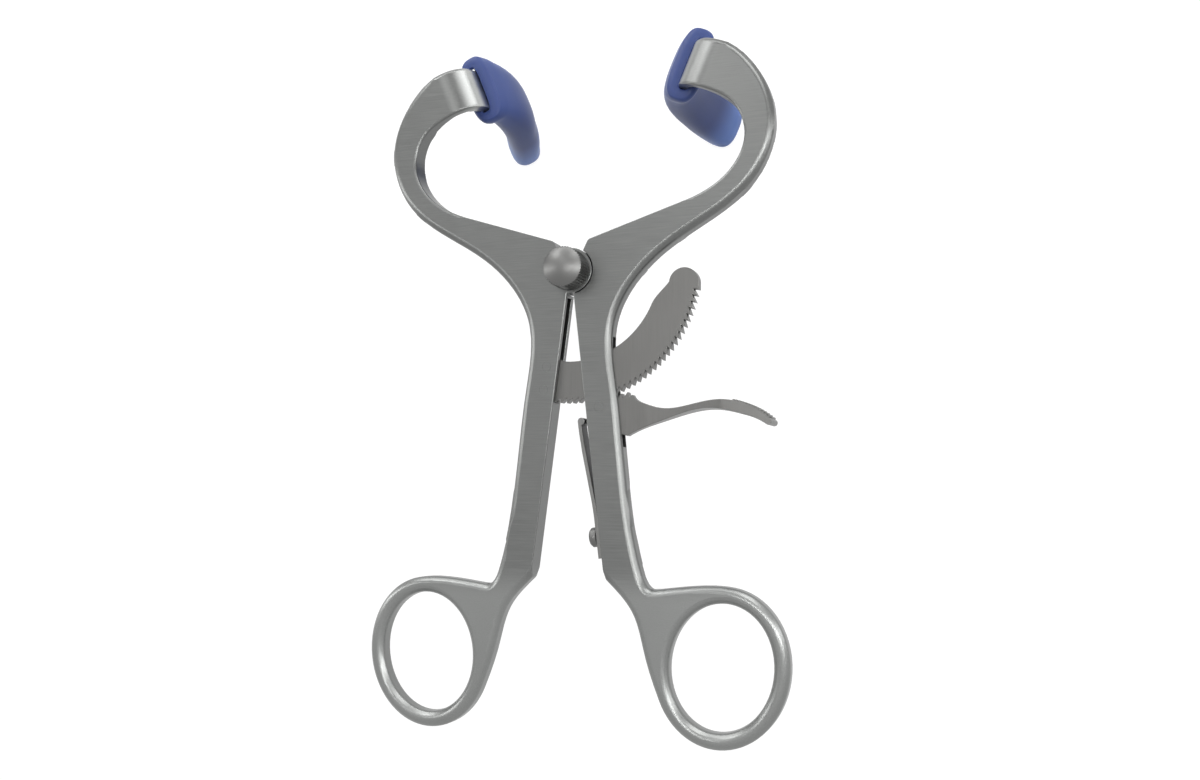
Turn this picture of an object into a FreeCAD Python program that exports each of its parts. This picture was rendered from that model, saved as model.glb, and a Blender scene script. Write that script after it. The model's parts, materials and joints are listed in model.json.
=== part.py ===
import FreeCAD, Part
import math
import os
from FreeCAD import Vector

# Mouth gag with finger rings, a toothed ratchet bar and sleeved jaw blades.
# The arms lie flat, jaws towards +Y and blades hanging towards -Z.
# Work frame: pivot axis on the origin, mid-plane of the arms at z = 0.
# The right arm is drawn, and the left arm is its mirror image about x = 0.

# Arm plates
arm_thickness = 4.4
outer_edge_bevel = 0.9
ring_hole_edge_bevel = 1.0
shank_inner_top = (1.25, -9.0)
shank_neck_radius = 3.9
shank_inner_low = (7.7, -61.3)
crotch_corner = (3.74, 6.2)
crotch_bevel_end = (2.7, 4.05)
shank_waist = (9.1, -11.0)
shank_outer_upper = (9.8, -24.5)
shank_outer_mid = (11.9, -43.5)
shank_outer_low = (15.2, -60.4)
shank_foot_flare = 0.12
same_edge_gap = 0.001
ring_shoulder_start = (17.6, -62.95)
ring_shoulder_mid = (24.2, -62.1)

# C-shaped hook of each arm, pivot side to blade side
hook_outer_points = [(19.2, 3.2), (37.3, 16.2), (41.3, 27.6), (39.3, 35.6), (36.0, 40.4)]
hook_inner_points = [(19.4, 11.2), (32.0, 17.4), (35.5, 24.6), (33.2, 31.2)]

# Finger ring: an oval hole in an oval band that leans outwards at the top
ring_centre = (30.6, -77.0)
ring_hole_half_width = 10.0
ring_hole_half_height = 12.0
ring_band_width = 3.1
ring_lean_deg = 9.0
ring_sweep_points = [(13.2, -67.5), (15.65, -75.3)]
ring_sweep_start_run = (1.0, -0.95)
ring_sweep_join_deg = 125.0

# Lap joint at the pivot
lap_radius = 4.6
lap_side_gap = 0.15
lap_face_gap = 0.04

# Pivot thumb screw
screw_shaft_radius = 2.2
running_clearance = 0.05
screw_head_radius = 4.1
screw_head_rim_height = 4.6
screw_dome_height = 1.3
screw_seat_gap = 0.03
knurl_count = 44
knurl_depth = 0.22

# Jaw blades, bent down from the hook ends
blade_face_x = 22.95
blade_face_y = 42.15
blade_tilt_deg = 22.7
blade_width = 10.1
blade_thickness = 2.0
bend_reach = 7.0
bend_drop = 5.9
blade_depth = 25.9
blade_drift = 3.9
blade_drift_power = 1.4
blade_lean = 2.9
blade_bow = 1.8
blade_tip_width = 6.4
blade_tip_thickness = 1.6
bend_overlap = 1.0
plate_ramp_length = 12.0

# Silicone sleeves on the blades
pad_fit_gap = 0.15
pad_mouth_rise = 0.2
pad_mouth_width = 14.7
pad_mouth_thickness = 5.7
pad_mouth_offset = 1.1
pad_tip_width = 10.1
pad_tip_thickness = 7.1
pad_tip_offset = -2.0
pad_belly_thickness = 1.3
pad_belly_offset = 2.35
pad_tip_wall = 2.6
pad_round_start = 0.4
pad_squareness = 2.7
pad_section_points = 20
pad_side_steps = 6
pad_cap_steps = (0.5, 0.82, 0.98)
pad_cavity_top = 2.0

# Slot that both arms have for the ratchet parts
slot_width = 2.2
slot_side_gap = 0.1
window_top_spare = 3.9
window_low_spare = 8.6
rack_pocket_top_y = -5.4
rack_pocket_depth = 4.5
rack_pocket_low_gap = 0.2
cut_overrun = 3.0

# Ratchet bar, concentric with the pivot
rack_tip_radius = 26.7
rack_tooth_height = 1.1
rack_band_width = 7.3
rack_tooth_pitch_deg = 2.8
rack_tooth_count = 32
rack_first_tooth_deg = -97.4
rack_root_fit = 0.05
rack_root_top_drop = 0.4
rack_root_low_rise = 0.3
rack_root_overlap = 0.5
rack_flare_deg = 16.0
rack_flare_run = (0.75, 1.0)
rack_nose_shoulder_depth = 6.165
rack_nose_shoulder_back_deg = 0.88
rack_nose_top_depth = 2.09
rack_nose_top_ahead_deg = 6.05
rack_nose_step = 0.2
rivet_radius = 0.9
rivet_fit = 0.02
rivet_inset = 2.3
rivet_edge_margin = 1.35

# Release lever with its pawl
lever_pin_rack_gap = 1.632
lever_pin_deg = -76.943
lever_pin_radius = 1.0
lever_engage_deg = 11.5
pawl_tooth_count = 3
pawl_first_deg = -68.3
pawl_mesh_gap = 0.52
pawl_flank_gap_deg = 0.75
lever_tail_width = 6.4
lever_heel_radius = 1.3
lever_heel_drop = 2.6
lever_heel_reach = 0.6
lever_shoulder_gap = 0.8
lever_shoulder_deg = -80.3
lever_crown_gap = 0.15

# Outline of the release lever's tail, counted from the centre of its pin
pawl_back = (6.5, 2.4)
lever_tail_top = [(9.0, 0.6), (13.2, -0.4), (23.2, 1.0), (28.6, 0.4)]
lever_tail_low = [(28.0, -1.6), (23.0, -0.6), (13.0, -2.7), (5.5, -5.7)]
lever_tip_top = (34.25, -2.85)
lever_tip_nose = (34.2, -3.75)
lever_tip_low = (33.3, -3.75)
lever_back_run = (0.3, -1.0)
lever_tip_run = (0.8, -0.75)
lever_under_run = (-0.85, 0.6)
lever_heel_run = (-0.85, -0.5)
lever_flare_start = 8.6
lever_flare_end = 24.6

# Leaf spring on the inner side of the right shank
spring_thickness = 0.7
spring_width = 3.4
spring_seat_gap = 0.12
spring_screw_y = -53.0
spring_foot_length = 4.2
spring_seat_length = 2.4
spring_bow = 0.55
spring_curl_radius = 0.72
spring_heel_gap = 0.08
spring_screw_radius = 0.9
spring_screw_depth = 3.6
spring_screw_head_radius = 1.95
spring_screw_head_height = 1.45
spring_screw_slot = 0.5
spring_screw_head_bevel = 0.4
spring_screw_seat_gap = 0.1
spring_screw_hole_spare = 0.5
spring_hole_gap = 0.15

half_thickness = arm_thickness / 2
rack_root_radius = rack_tip_radius - rack_tooth_height
rack_inner_radius = rack_root_radius - rack_band_width
rivet_pitch = rack_band_width - 2 * rivet_edge_margin
slot_half = slot_width / 2
ratchet_half = slot_half - slot_side_gap


def at(point, z=0.0):
    """A plan point lifted to height z."""
    return Vector(point[0], point[1], z)


def polar(radius, degrees, z=0.0):
    """A point at an angle about the pivot axis, counted from +X."""
    angle = math.radians(degrees)
    return Vector(radius * math.cos(angle), radius * math.sin(angle), z)


def spline(points, start=None, end=None):
    """A smooth curve through points, with end directions where they are given."""
    curve = Part.BSplineCurve()
    if start is None or end is None:
        curve.interpolate(Points=points)
    else:
        first = Vector(start).normalize()
        last = Vector(end).normalize()
        curve.interpolate(Points=points, InitialTangent=first, FinalTangent=last, Scale=False)
    return curve.toShape()


def line(first, second):
    return Part.LineSegment(first, second).toShape()


def plate(edges, low, high):
    """A closed plan outline at z = 0, extruded from low to high."""
    wire = Part.Wire(Part.__sortEdges__(edges))
    face = Part.Face(wire)
    face.translate(Vector(0, 0, low))
    return face.extrude(Vector(0, 0, high - low))


def polygon_plate(points, low, high):
    closed = points + [points[0]]
    return plate([line(a, b) for a, b in zip(closed, closed[1:])], low, high)


def disc(radius, low, high, centre=(0.0, 0.0)):
    return Part.makeCylinder(radius, high - low, at(centre, low))


def mirrored(shape):
    return shape.mirror(Vector(0, 0, 0), Vector(1, 0, 0))


lever_pin_centre = polar(rack_tip_radius + lever_pin_rack_gap, lever_pin_deg)
window_top_y = window_top_spare - rack_inner_radius
window_bottom_y = lever_pin_centre.y - window_low_spare

# Directions along the straight inner edge of the right shank
edge_run = (at(shank_inner_low) - at(shank_inner_top)).normalize()
edge_inward = Vector(-edge_run.y, edge_run.x, 0)


def on_inner_edge(y, inset=0.0):
    """The point of the inner shank edge at a height y, moved into the arm by inset."""
    along = (y - shank_inner_top[1]) / edge_run.y
    return at(shank_inner_top) + edge_run * along + edge_inward * inset


# Directions of the jaw blade: across its width, and out of its convex face
tilt = math.radians(blade_tilt_deg)
blade_across = Vector(math.sin(tilt), math.cos(tilt), 0)
blade_out = Vector(-math.cos(tilt), math.sin(tilt), 0)
blade_face = Vector(blade_face_x, blade_face_y, 0)
bend_start = blade_face - blade_out * bend_reach


def ring_axis():
    lean = math.radians(ring_lean_deg)
    return Vector(math.sin(lean), math.cos(lean), 0)


def ring_ellipse(half_width, half_height):
    """An oval about the ring centre, with its long axis leaning outwards."""
    up = ring_axis()
    side = Vector(-up.y, up.x, 0)
    centre = at(ring_centre)
    return Part.Ellipse(centre + up * half_height, centre + side * half_width, centre)


def arm_outline():
    """Edges of the right arm in plan: those to be bevelled, and the sharp ones."""
    plate_outer = bend_start + blade_across * (blade_width / 2)
    plate_inner = bend_start - blade_across * (blade_width / 2)
    away = blade_out * -1

    band = ring_ellipse(ring_hole_half_width + ring_band_width,
                        ring_hole_half_height + ring_band_width)
    join = math.radians(ring_sweep_join_deg)
    ring_top = band.value(0)
    ring_join = band.value(join)
    top_run = band.tangent(0)[0] * -1
    join_run = band.tangent(join)[0] * -1

    hook_outer = [at(p) for p in reversed(hook_outer_points)]
    shank_end = at(shank_outer_low)
    shank_run = (shank_end - at(shank_outer_mid)).normalize() + Vector(shank_foot_flare, 0, 0)
    outer = spline(
        [plate_outer] + hook_outer
        + [at(shank_waist), at(shank_outer_upper), at(shank_outer_mid), shank_end],
        away, shank_run)

    shoulder_start = at(ring_shoulder_start)
    shoulder_run = (at(ring_shoulder_mid) - shoulder_start).normalize()
    crook = spline([shank_end, shoulder_start], shank_run, shoulder_run)
    shoulder = spline([shoulder_start, at(ring_shoulder_mid), ring_top], shoulder_run, top_run)
    ring = band.toShape(join, 2 * math.pi)
    corner = at(shank_inner_low)
    sweep = spline([corner] + [at(p) for p in ring_sweep_points] + [ring_join],
                   at(ring_sweep_start_run), join_run * -1)

    crotch = at(crotch_corner)
    crotch_run = (at(crotch_corner) - at(hook_inner_points[0])).normalize()
    hook_inner = [at(p) for p in reversed(hook_inner_points)]
    inner = spline([plate_inner] + hook_inner + [crotch], away, crotch_run)
    bevel_end = at(crotch_bevel_end)
    edge_top = at(shank_inner_top)
    neck = edge_top - edge_run * (-edge_top.y - shank_neck_radius)

    bevelled = [outer, crook, shoulder, ring, sweep]
    sharp = [
        inner,
        line(crotch, bevel_end),
        line(bevel_end, neck),
        line(neck, corner),
        line(plate_outer, plate_inner),
    ]
    return bevelled, sharp


def edges_along(solid, curves, shifts):
    """Edges of a solid that lie along one of the curves, moved by one of the shifts."""
    moved = [curve.translated(shift) for curve in curves for shift in shifts]
    found = []
    for edge in solid.Edges:
        middle = Part.Vertex(edge.valueAt((edge.FirstParameter + edge.LastParameter) / 2))
        if any(curve.distToShape(middle)[0] < same_edge_gap for curve in moved):
            found.append(edge)
    return found


def arm_plate():
    """The flat arm with its ring and bevelled outer edges, before its joints are cut."""
    bevelled, sharp = arm_outline()
    body = plate(bevelled + sharp, -half_thickness, half_thickness)
    hole = ring_ellipse(ring_hole_half_width, ring_hole_half_height).toShape()
    body = body.cut(plate([hole], -arm_thickness, arm_thickness))
    faces = [Vector(0, 0, half_thickness), Vector(0, 0, -half_thickness)]
    body = body.makeChamfer(outer_edge_bevel, edges_along(body, bevelled, faces))
    return body.makeChamfer(ring_hole_edge_bevel, edges_along(body, [hole], faces))


def blade_frame(across, out, z):
    """A point beside the blade: across its width, out of its convex face, at height z."""
    return blade_face + blade_across * across + blade_out * out + Vector(0, 0, z)


def blade_bend():
    """The hook end's plate, turned down through a quarter of an oval and bevelled as the hook is."""
    top = half_thickness
    start = blade_across * (-blade_width / 2)
    middle = bend_start + start + Vector(0, 0, top - bend_drop)

    def quarter(reach, drop):
        side = middle + blade_out * reach
        upper = middle + Vector(0, 0, drop)
        if reach > drop:
            oval = Part.Ellipse(side, upper, middle)
            first, last = 0, math.pi / 2
        else:
            oval = Part.Ellipse(upper, side, middle)
            first, last = -math.pi / 2, 0
        return oval.toShape(first, last), side, upper

    outer, outer_side, outer_top = quarter(bend_reach, bend_drop)
    inner, inner_side, inner_top = quarter(bend_reach - blade_thickness,
                                           bend_drop - blade_thickness)
    back = blade_out * -bend_overlap
    root = line(outer_top + back, outer_top)
    edges = [
        outer,
        inner,
        line(outer_side, inner_side),
        line(inner_top, inner_top + back),
        line(inner_top + back, outer_top + back),
        root,
    ]
    face = Part.Face(Part.Wire(Part.__sortEdges__(edges)))
    width = blade_across * blade_width
    bend = face.extrude(width)
    return bend.makeChamfer(outer_edge_bevel, edges_along(bend, [outer, root], [width]))


def plate_ramp():
    """Material taken off the back, so that the hook thins towards the bend."""
    back = -half_thickness
    step = arm_thickness - blade_thickness
    reach = plate_ramp_length
    points = [
        blade_frame(-reach, -bend_reach, back - cut_overrun),
        blade_frame(-reach, -bend_reach, back + step),
        blade_frame(-reach, -bend_reach - reach, back),
        blade_frame(-reach, -bend_reach - reach, back - cut_overrun),
    ]
    face = Part.Face(Part.makePolygon(points + [points[0]]))
    return face.extrude(blade_across * (2 * reach))


bend_foot_z = half_thickness - bend_drop
blade_tip_z = bend_foot_z - blade_depth


def bowed(first, last, bow, share):
    """A value that runs from first to last, and bulges by bow half-way."""
    return first + (last - first) * share + 4 * bow * share * (1 - share)


def blade_centre(z):
    """Middle of the blade's section at height z: it bows out and then leans back."""
    share = max(0.0, (bend_foot_z - z) / blade_depth)
    out = bowed(0.0, -blade_lean, blade_bow, share) - blade_thickness / 2
    return blade_frame(-blade_drift * share ** blade_drift_power, out, z)


def flat_section(centre, width, thickness):
    """A level rectangle, turned to the blade's directions."""
    across = blade_across * (width / 2)
    out = blade_out * (thickness / 2)
    corners = [centre + across + out, centre - across + out, centre - across - out, centre + across - out]
    return Part.makePolygon(corners + [corners[0]])


def oval_section(centre, width, thickness):
    """A level oval with fuller corners than an ellipse, turned to the blade's directions."""
    power = 2 / pad_squareness
    points = []
    for index in range(pad_section_points):
        angle = 2 * math.pi * (index + 0.5) / pad_section_points
        side = math.copysign(abs(math.cos(angle)) ** power, math.cos(angle))
        face = math.copysign(abs(math.sin(angle)) ** power, math.sin(angle))
        points.append(centre + blade_across * (side * width / 2) + blade_out * (face * thickness / 2))
    return Part.makePolygon(points + [points[0]])


def blade_leaf(grow=0.0, grow_top=0.0):
    """The curved tapered blade below the bend, grown all round by a fit gap."""
    sections = []
    for share in (0.0, 1 / 3, 2 / 3, 1.0):
        z = bend_foot_z - blade_depth * share + grow_top * (1 - share) - grow * share
        width = bowed(blade_width, blade_tip_width, 0.0, share)
        thickness = bowed(blade_thickness, blade_tip_thickness, 0.0, share)
        sections.append(flat_section(blade_centre(z), width + 2 * grow, thickness + 2 * grow))
    return Part.makeLoft(sections, True, False)


def pad():
    """The soft sleeve: wide at its mouth, with a belly on the outside and a round end."""
    mouth_z = bend_foot_z + pad_mouth_rise
    round_start = blade_tip_z + pad_round_start
    cap = round_start - blade_tip_z + pad_tip_wall
    stations = [(index / pad_side_steps, 1.0, 0.0) for index in range(pad_side_steps + 1)]
    for drop in pad_cap_steps:
        stations.append((1.0, math.sqrt(1 - drop * drop), cap * drop))
    sections = []
    for share, shrink, drop in stations:
        z = bowed(mouth_z, round_start, 0.0, share) - drop
        thickness = bowed(pad_mouth_thickness, pad_tip_thickness, pad_belly_thickness, share)
        loss = pad_tip_thickness * (1 - shrink)
        width = bowed(pad_mouth_width, pad_tip_width, 0.0, share)
        out = bowed(pad_mouth_offset, pad_tip_offset, pad_belly_offset, share)
        centre = blade_frame(-blade_drift * share ** blade_drift_power, out - blade_thickness / 2, z)
        sections.append(oval_section(centre, width - loss, thickness - loss))
    outer = Part.makeLoft(sections, True, True)
    return outer.cut(blade_leaf(pad_fit_gap, pad_cavity_top))


def rack_pocket():
    """Blind slot in the inner side of the arm, in which the ratchet bar is fixed."""
    bottom_y = -rack_tip_radius + rack_pocket_low_gap
    points = [
        on_inner_edge(rack_pocket_top_y, -cut_overrun),
        on_inner_edge(rack_pocket_top_y, rack_pocket_depth),
        on_inner_edge(bottom_y, rack_pocket_depth),
        on_inner_edge(bottom_y, -cut_overrun),
    ]
    return polygon_plate(points, -slot_half, slot_half)


def ratchet_window():
    """Slot right through the right shank, for the ratchet bar and the lever."""
    through = shank_outer_mid[0] + cut_overrun
    points = [
        on_inner_edge(window_top_y, -cut_overrun),
        on_inner_edge(window_top_y, through),
        on_inner_edge(window_bottom_y, through),
        on_inner_edge(window_bottom_y, -cut_overrun),
    ]
    return polygon_plate(points, -slot_half, slot_half)


def rivet_spots():
    """Centres of the two rivets of the ratchet bar, in the right arm's mirror image."""
    middle_y = -(rack_inner_radius + rack_root_radius) / 2
    return [
        on_inner_edge(middle_y + side * rivet_pitch / 2, rivet_inset)
        for side in (1, -1)
    ]


def spring_screw_seat():
    """Seat of the spring screw on the inner shank edge."""
    return on_inner_edge(spring_screw_y)


def arm_half_cuts(body, keeps_front):
    """One arm's share of the lap joint: a disc on one side, a round recess on the other."""
    reach = arm_thickness
    step = lap_face_gap / 2
    if keeps_front:
        own = (step, half_thickness)
        recess = (-reach, step)
    else:
        own = (-half_thickness, -step)
        recess = (-step, reach)
    body = body.cut(disc(lap_radius + lap_side_gap, *recess))
    body = body.fuse(disc(lap_radius, *own))
    return body.cut(disc(screw_shaft_radius + running_clearance, -reach, reach))


def jaw_arm():
    """The right arm with its bend and blade, before the lap joint and the slots."""
    body = arm_plate().cut(plate_ramp())
    return body.fuse(blade_bend()).fuse(blade_leaf())


def left_arm(body):
    arm = mirrored(body)
    arm = arm_half_cuts(arm, True)
    arm = arm.cut(mirrored(rack_pocket()))
    for spot in rivet_spots():
        arm = arm.cut(mirrored(disc(rivet_radius + rivet_fit, -arm_thickness, arm_thickness, spot)))
    return arm


def right_arm(body):
    arm = arm_half_cuts(body, False)
    arm = arm.cut(ratchet_window())
    pin_hole = disc(lever_pin_radius + rivet_fit, -arm_thickness, arm_thickness, lever_pin_centre)
    screw_hole = Part.makeCylinder(
        spring_screw_radius + rivet_fit, cut_overrun + spring_screw_depth + spring_screw_hole_spare,
        spring_screw_seat() - edge_inward * cut_overrun, edge_inward)
    return arm.cut(pin_hole).cut(screw_hole)


def thumb_screw():
    """Shaft through both halves of the lap, under a knurled head with a smooth dome."""
    base = half_thickness + screw_seat_gap
    rim_top = base + screw_head_rim_height
    dome_top = rim_top + screw_dome_height
    outline = []
    for index in range(2 * knurl_count):
        radius = screw_head_radius - (knurl_depth if index % 2 else 0)
        outline.append(polar(radius, index * 180.0 / knurl_count, 0))
    rim = polygon_plate(outline, base, dome_top)
    shoulder = screw_head_radius - knurl_depth
    dome_radius = (shoulder ** 2 + screw_dome_height ** 2) / (2 * screw_dome_height)
    half_turn = math.asin(shoulder / dome_radius) / 2
    dome_side = Vector(math.sin(half_turn), 0, math.cos(half_turn)) * dome_radius
    dome_arc_mid = Vector(0, 0, dome_top - dome_radius) + dome_side
    low_edge = Vector(screw_head_radius, 0, base + knurl_depth)
    high_edge = Vector(screw_head_radius, 0, rim_top - knurl_depth)
    profile = [
        line(Vector(0, 0, base), Vector(shoulder, 0, base)),
        line(Vector(shoulder, 0, base), low_edge),
        line(low_edge, high_edge),
        line(high_edge, Vector(shoulder, 0, rim_top)),
        Part.Arc(Vector(shoulder, 0, rim_top), dome_arc_mid, Vector(0, 0, dome_top)).toShape(),
        line(Vector(0, 0, dome_top), Vector(0, 0, base)),
    ]
    envelope = Part.Face(Part.Wire(profile)).revolve(Vector(0, 0, 0), Vector(0, 0, 1), 360)
    head = rim.common(envelope)
    shaft = disc(screw_shaft_radius, -half_thickness, base + screw_head_rim_height / 2)
    return head.fuse(shaft)


def tooth_points(first, count, shift_deg=0.0, lift=0.0):
    """Corners of a run of saw teeth: each rises along a radius and slopes back."""
    points = []
    for index in range(count):
        angle = rack_first_tooth_deg + (first + index) * rack_tooth_pitch_deg + shift_deg
        points.append(polar(rack_root_radius + lift, angle))
        points.append(polar(rack_tip_radius + lift, angle))
    last = rack_first_tooth_deg + (first + count) * rack_tooth_pitch_deg + shift_deg
    points.append(polar(rack_root_radius + lift, last))
    return points


def ratchet_bar():
    """Toothed arc about the pivot, with a round nose and a square root in the left arm."""
    teeth = tooth_points(0, rack_tooth_count)
    edges = [line(a, b) for a, b in zip(teeth, teeth[1:])]
    last_deg = rack_first_tooth_deg + rack_tooth_count * rack_tooth_pitch_deg
    shoulder = polar(rack_tip_radius - rack_nose_shoulder_depth, last_deg - rack_nose_shoulder_back_deg)
    nose_top = polar(rack_tip_radius - rack_nose_top_depth, last_deg + rack_nose_top_ahead_deg)
    nose_start = polar(rack_tip_radius - rack_nose_step, last_deg)
    edges[-1] = line(teeth[-2], nose_start)
    nose = Part.Arc(nose_start, nose_top, shoulder).toShape()
    flare_deg = last_deg - rack_flare_deg
    inner_end = polar(rack_inner_radius, flare_deg)
    inner_mid = polar(rack_inner_radius, (flare_deg + rack_first_tooth_deg) / 2)
    inner_start = polar(rack_inner_radius, rack_first_tooth_deg)
    inner_run = polar(1, flare_deg + 90)
    flare = spline([inner_end, shoulder], inner_run, at(rack_flare_run))
    inner = Part.Arc(inner_start, inner_mid, inner_end).toShape()
    edges += [nose, flare, inner, line(inner_start, teeth[0])]
    band = plate(edges, -ratchet_half, ratchet_half)

    top_y = -rack_inner_radius + rack_root_top_drop
    low_y = -rack_tip_radius + rack_root_low_rise
    depth = rack_pocket_depth - rack_root_fit
    tab = [
        on_inner_edge(top_y, -rack_root_overlap),
        on_inner_edge(top_y, depth),
        on_inner_edge(low_y, depth),
        on_inner_edge(low_y, -rack_root_overlap),
    ]
    bar = band.fuse(mirrored(polygon_plate(tab, -ratchet_half, ratchet_half)))
    for spot in rivet_spots():
        bar = bar.cut(mirrored(disc(rivet_radius + rivet_fit, -arm_thickness, arm_thickness, spot)))
    return bar.removeSplitter()


def rack_rivet(index):
    """Flush rivet through the left arm and the root of the ratchet bar."""
    return mirrored(disc(rivet_radius, -half_thickness, half_thickness, rivet_spots()[index]))


def lever_pin():
    """Flush pin in both cheeks of the window."""
    return disc(lever_pin_radius, -half_thickness, half_thickness, lever_pin_centre)


def lever_top_points():
    """The lever's edge that faces the ratchet bar, where the lever is at rest.

    It is laid out with the pawl in mesh and then turned back about the lever's pin.
    The first three points are the shoulder, the crown over the pin and the first slope.
    """
    first = round((pawl_first_deg - rack_first_tooth_deg) / rack_tooth_pitch_deg)
    pin = lever_pin_centre
    teeth = tooth_points(first - 1, pawl_tooth_count + 1, -pawl_flank_gap_deg, pawl_mesh_gap)
    in_mesh = [
        polar(rack_tip_radius + lever_shoulder_gap, lever_shoulder_deg),
        polar(rack_tip_radius + lever_crown_gap, lever_pin_deg),
    ]
    in_mesh += teeth[1:-1]
    back = FreeCAD.Rotation(Vector(0, 0, 1), -lever_engage_deg)
    return [pin + back.multVec(p - pin) for p in in_mesh]


def release_lever():
    """Pawl, pivot boss, heel and the thumb tail that flares sideways."""
    shoulder, crown, *teeth = lever_top_points()
    pin = lever_pin_centre
    heel = on_inner_edge(pin.y - lever_heel_drop, -lever_heel_reach + lever_heel_radius)
    heel_left = heel - edge_inward * lever_heel_radius
    heel_low = heel + edge_run * lever_heel_radius
    top = [pin + at(p) for p in lever_tail_top]
    low = [pin + at(p) for p in lever_tail_low]
    tip_top = pin + at(lever_tip_top)
    tip_low = pin + at(lever_tip_low)
    edges = [line(a, b) for a, b in zip(teeth, teeth[1:])]
    back = pin + at(pawl_back)
    edges.append(line(teeth[-1], back))
    edges.append(spline([back] + top + [tip_top], at(lever_back_run), at(lever_tip_run)))
    edges.append(Part.Arc(tip_top, pin + at(lever_tip_nose), tip_low).toShape())
    edges.append(spline([tip_low] + low, at(lever_under_run), at(lever_heel_run)))
    edges.append(line(low[-1], heel_low))
    bulge = heel + (edge_run - edge_inward) * (lever_heel_radius * math.sqrt(0.5))
    edges.append(Part.Arc(heel_low, bulge, heel_left).toShape())
    edges.append(line(heel_left, shoulder))
    edges.append(Part.Arc(shoulder, crown, teeth[0]).toShape())
    side = plate(edges, -lever_tail_width, lever_tail_width)

    half_tail = lever_tail_width / 2
    upper = [
        (0.0, ratchet_half),
        (pin.x + lever_flare_start, ratchet_half),
        (pin.x + lever_flare_end, half_tail),
        (tip_top.x + cut_overrun, half_tail),
    ]
    flare = [at(p) for p in upper] + [at((x, -z)) for x, z in reversed(upper)]
    across = Part.Face(Part.makePolygon(flare + [flare[0]])).extrude(Vector(0, 0, -2 * pin.y))
    across.rotate(Vector(0, 0, 0), Vector(1, 0, 0), 90)
    lever = side.common(across)
    hole = disc(lever_pin_radius + running_clearance, -arm_thickness, arm_thickness, lever_pin_centre)
    return lever.cut(hole)


def leaf_spring():
    """Strip from its foot under the screw to a small curl behind the lever's heel."""
    half = spring_thickness / 2
    offset = -spring_seat_gap - half
    curl_y = lever_pin_centre.y - lever_heel_drop
    foot = on_inner_edge(spring_screw_y - spring_foot_length, offset)
    seat_end = on_inner_edge(spring_screw_y + spring_seat_length, offset)
    curl_inset = -lever_heel_reach - spring_heel_gap - spring_curl_radius
    curl = on_inner_edge(curl_y, curl_inset)
    middle = on_inner_edge((spring_screw_y + curl_y) / 2, offset - spring_bow)
    curl_entry = curl - edge_inward * (spring_curl_radius - half)
    left = [foot - edge_inward * half, seat_end - edge_inward * half,
            middle - edge_inward * half, curl_entry - edge_inward * half]
    right = [p + edge_inward * spring_thickness for p in left]
    edges = [
        line(left[0], left[1]),
        spline(left[1:], edge_run * -1, edge_run * -1),
        line(left[3], right[3]),
        spline(right[1:], edge_run * -1, edge_run * -1),
        line(right[1], right[0]),
        line(right[0], left[0]),
    ]
    width = spring_width / 2
    blade = plate(edges, -width, width)
    roll = disc(spring_curl_radius, -width, width, curl).cut(
        disc(spring_curl_radius - spring_thickness, -width, width, curl))
    blade = blade.fuse(roll)
    axis_start = spring_screw_seat() - edge_inward * cut_overrun
    hole = Part.makeCylinder(spring_screw_radius + spring_hole_gap, cut_overrun, axis_start, edge_inward)
    return blade.cut(hole).removeSplitter()


def spring_screw():
    """Slotted pan-head screw that clamps the foot of the leaf spring."""
    seat = spring_screw_seat()
    under = spring_seat_gap + spring_thickness + spring_screw_seat_gap
    head_base = seat - edge_inward * under
    out = edge_inward * -1
    head = Part.makeCylinder(spring_screw_head_radius, spring_screw_head_height, head_base, out)
    rim = [edge for edge in head.Edges
           if isinstance(edge.Curve, Part.Circle)
           and (edge.Curve.Center - head_base).Length > spring_screw_head_height / 2]
    head = head.makeChamfer(spring_screw_head_bevel, rim)
    slot_wide = 3 * spring_screw_head_radius
    slot = Part.makeBox(spring_screw_slot, slot_wide, spring_screw_slot)
    slot.translate(Vector(-spring_screw_slot / 2, -slot_wide / 2, -spring_screw_slot))
    placement = FreeCAD.Placement(
        head_base + out * spring_screw_head_height, FreeCAD.Rotation(Vector(0, 0, 1), out))
    slot.Placement = placement.multiply(slot.Placement)
    shank = Part.makeCylinder(spring_screw_radius, spring_screw_depth + under, head_base, edge_inward)
    return head.cut(slot).fuse(shank)


def build():
    body = jaw_arm()
    sleeve = pad()
    return {
        "left_arm": left_arm(body),
        "right_arm": right_arm(body),
        "thumb_screw": thumb_screw(),
        "ratchet_bar": ratchet_bar(),
        "rack_rivet_1": rack_rivet(0),
        "rack_rivet_2": rack_rivet(1),
        "release_lever": release_lever(),
        "lever_pin": lever_pin(),
        "leaf_spring": leaf_spring(),
        "spring_screw": spring_screw(),
        "left_pad": mirrored(sleeve),
        "right_pad": sleeve,
    }


def base_offset(shapes):
    """The move that puts the whole object's base centre on the origin."""
    box = Part.makeCompound(list(shapes.values())).optimalBoundingBox(False, False)
    return Vector(-(box.XMin + box.XMax) / 2, -(box.YMin + box.YMax) / 2, -box.ZMin)


def main():
    os.makedirs("parts", exist_ok=True)
    shapes = build()
    offset = base_offset(shapes)
    for name, shape in shapes.items():
        solid = shape.copy()
        solid.translate(offset)
        solid.exportStep("parts/" + name + ".step")
        print(name, len(solid.Solids), solid.isValid(), round(solid.Volume, 2))
    print("offset", [round(value, 4) for value in offset])


main()
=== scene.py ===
"""Looks of a mouth gag: brushed steel arms, ratchet bar, release lever and soft jaw sleeves."""

import json
import logging
import math
from dataclasses import dataclass, field
from enum import Enum
from typing import Iterable, Sequence

import bmesh
import bpy
from mathutils import Matrix, Vector
from mathutils.bvhtree import BVHTree


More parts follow.
